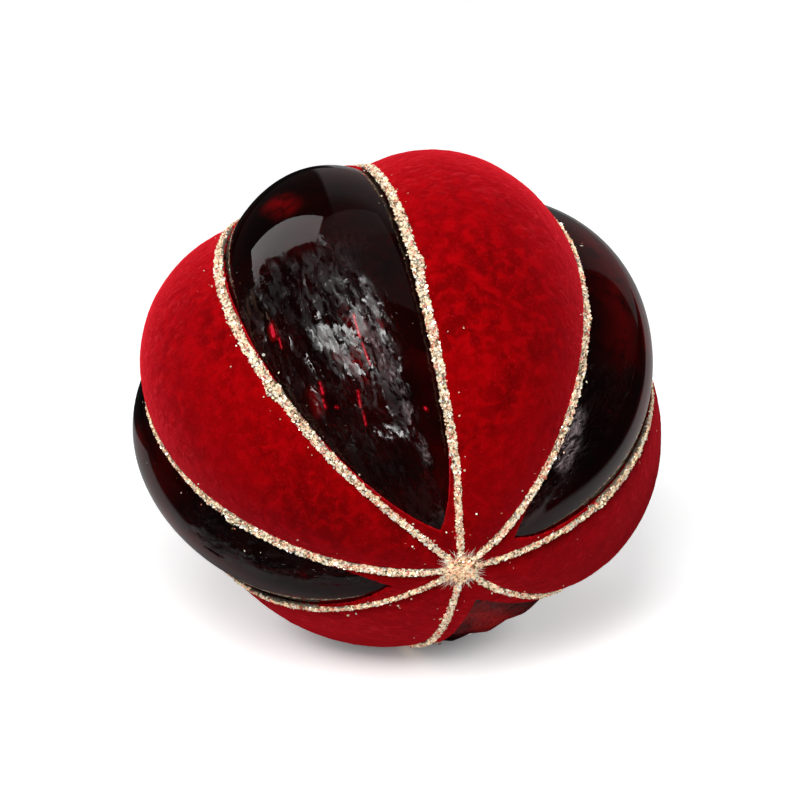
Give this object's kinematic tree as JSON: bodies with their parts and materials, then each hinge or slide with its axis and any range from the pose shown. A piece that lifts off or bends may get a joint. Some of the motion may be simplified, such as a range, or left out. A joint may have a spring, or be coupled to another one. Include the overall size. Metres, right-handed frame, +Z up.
{
  "type": "glass christmas bauble",
  "caption": "Lobed blown glass bauble with velvet flock, teardrop glass windows, glitter beads in the valleys, and a lift-off metal cap with a wire hanger.",
  "frame": {"origin": "on the surface the bauble lies on, under the centre of its box", "axes": "+Z up from that surface; the bauble's own axis lies in the YZ plane, its bottom pole towards -Y and dipping 24 degrees, its cap towards +Y; +X runs through the hanger's eye"},
  "size_m": [0.1018, 0.1034, 0.0955],
  "materials": {
    "ruby_glass": "polished, crumpled inside",
    "velvet_flock": "crushed velvet flock",
    "gold_glitter": "metallised flakes set in clear glue",
    "cap_metal": "gold lacquer",
    "wire_metal": "gold plated spring wire"
  },
  "bodies": {
    "bauble": {"glass_body": "ruby_glass", "velvet_lobe_1": "velvet_flock", "velvet_lobe_2": "velvet_flock", "velvet_lobe_3": "velvet_flock", "velvet_lobe_4": "velvet_flock", "velvet_border_1": "velvet_flock", "velvet_border_2": "velvet_flock", "velvet_border_3": "velvet_flock", "velvet_border_4": "velvet_flock", "glitter_line_1": "gold_glitter", "glitter_line_2": "gold_glitter", "glitter_line_3": "gold_glitter", "glitter_line_4": "gold_glitter", "glitter_line_5": "gold_glitter", "glitter_line_6": "gold_glitter", "glitter_line_7": "gold_glitter", "glitter_line_8": "gold_glitter", "glitter_rosette": "gold_glitter"},
    "cap": {"cap": "cap_metal"},
    "hanger": {"hanger_wire": "wire_metal"}
  },
  "joints": [
    {"name": "cap_lift", "type": "slide", "parent": "bauble", "child": "cap", "axis": [0, 0.9157, 0.4019], "range_m": [0, 0.03]},
    {"name": "hanger_slide", "type": "slide", "parent": "cap", "child": "hanger", "axis": [0, 0.9157, 0.4019], "range_m": [0, 0.003]}
  ]
}
